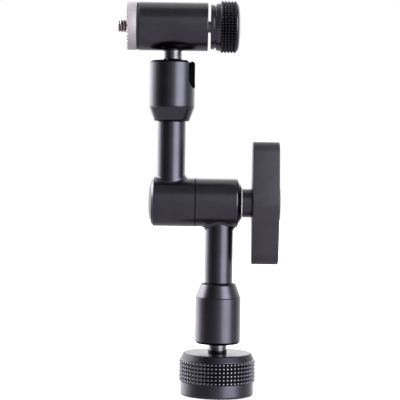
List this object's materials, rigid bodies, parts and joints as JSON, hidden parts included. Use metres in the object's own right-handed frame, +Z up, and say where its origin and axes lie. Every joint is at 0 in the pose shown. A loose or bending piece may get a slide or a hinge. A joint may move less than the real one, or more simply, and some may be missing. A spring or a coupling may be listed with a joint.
{
  "type": "articulating extension arm",
  "caption": "Small camera arm: two arms on a toothed elbow with a locking wing handle, a ball joint at each end, a knurled foot wheel and a head barrel with a captive screw.",
  "frame": {"origin": "centre of the base wheel's underside, at the mouth of its tapped hole", "axes": "+Z up along the lower arm, +X along the elbow's axis towards the wing handle, +Y away from the viewer of the picture"},
  "size_m": [0.0763, 0.0356, 0.1838],
  "materials": {
    "black_anodised": "satin black anodised",
    "handle_plastic": "fine matt moulded",
    "dark_steel": "turned and blackened",
    "stud_steel": "browned screw steel",
    "plain_steel": "turned",
    "grey_aluminium": "clear anodised",
    "gasket_rubber": "matt",
    "seat_plastic": "turned acetal",
    "nut_brass": "turned"
  },
  "bodies": {
    "base": {"base_wheel": "black_anodised", "base_insert": "plain_steel"},
    "lower_ball": {"lower_ball_stem": "dark_steel"},
    "lower_seat": {"lower_ball_seat": "seat_plastic"},
    "lower_arm": {"lower_arm": "black_anodised", "lower_socket_cup": "black_anodised", "lower_socket_collar": "black_anodised", "elbow_spring": "plain_steel"},
    "lower_rod": {"lower_push_rod": "plain_steel"},
    "spindle": {"elbow_spindle": "plain_steel"},
    "handle": {"wing_handle": "handle_plastic", "handle_nut": "nut_brass", "thrust_collar": "black_anodised"},
    "upper_arm": {"upper_arm": "black_anodised", "elbow_end_cap": "black_anodised", "upper_socket_collar": "black_anodised", "upper_socket_cup": "black_anodised"},
    "upper_rod": {"upper_push_rod": "plain_steel"},
    "upper_seat": {"upper_ball_seat": "seat_plastic"},
    "upper_ball": {"upper_ball_stem": "dark_steel"},
    "head": {"head_barrel": "black_anodised", "guide_bush": "nut_brass", "tooth_ring": "grey_aluminium", "ring_gasket": "gasket_rubber"},
    "screw_slider": {"screw_clip": "plain_steel"},
    "screw": {"head_screw": "stud_steel", "head_knob": "black_anodised"}
  },
  "joints": [
    {"name": "lower_swivel", "type": "hinge", "parent": "base", "child": "lower_ball", "pos_m": [0, 0, 0.03235], "axis": [0, 0, 1], "continuous": true},
    {"name": "lower_tilt", "type": "hinge", "parent": "lower_ball", "child": "lower_seat", "pos_m": [0, 0, 0.03235], "axis": [-1, 0, 0], "range_deg": [-20, 90]},
    {"name": "lower_pan", "type": "hinge", "parent": "lower_seat", "child": "lower_arm", "pos_m": [0, 0, 0.03235], "axis": [0, 0, 1], "range_deg": [0, 360]},
    {"name": "lower_rod_slide", "type": "slide", "parent": "lower_arm", "child": "lower_rod", "axis": [0, 0, -1], "range_m": [0, 0.00055]},
    {"name": "spindle_slide", "type": "slide", "parent": "lower_arm", "child": "spindle", "axis": [1, 0, 0], "range_m": [0, 0.00094]},
    {"name": "handle_turn", "type": "hinge", "parent": "lower_arm", "child": "handle", "pos_m": [0, 0, 0.08995], "axis": [1, 0, 0], "range_deg": [0, 270]},
    {"name": "elbow", "type": "hinge", "parent": "lower_arm", "child": "upper_arm", "pos_m": [0, 0, 0.08995], "axis": [1, 0, 0], "range_deg": [-145, 145]},
    {"name": "upper_rod_slide", "type": "slide", "parent": "upper_arm", "child": "upper_rod", "axis": [0, 0, 1], "range_m": [0, 0.00055]},
    {"name": "upper_pan", "type": "hinge", "parent": "upper_arm", "child": "upper_seat", "pos_m": [-0.0229, 0, 0.14755], "axis": [0, 0, 1], "range_deg": [0, 360]},
    {"name": "upper_tilt", "type": "hinge", "parent": "upper_seat", "child": "upper_ball", "pos_m": [-0.0229, 0, 0.14755], "axis": [0.309, 0.9511, 0], "range_deg": [-20, 90]},
    {"name": "head_swivel", "type": "hinge", "parent": "upper_ball", "child": "head", "pos_m": [-0.0229, 0, 0.14755], "axis": [0, 0, 1], "continuous": true},
    {"name": "screw_slide", "type": "slide", "parent": "head", "child": "screw_slider", "axis": [1, 0, 0], "range_m": [-0.0011, 0.003]},
    {"name": "screw_turn", "type": "hinge", "parent": "screw_slider", "child": "screw", "pos_m": [-0.0229, 0, 0.17185], "axis": [1, 0, 0], "continuous": true}
  ],
  "couplings": [
    {"joint": "spindle_slide", "follows": "handle_turn", "m_per_rad": 0.00019894},
    {"joint": "lower_rod_slide", "follows": "handle_turn", "m_per_rad": 0.00011486},
    {"joint": "upper_rod_slide", "follows": "handle_turn", "m_per_rad": 0.00011486}
  ]
}
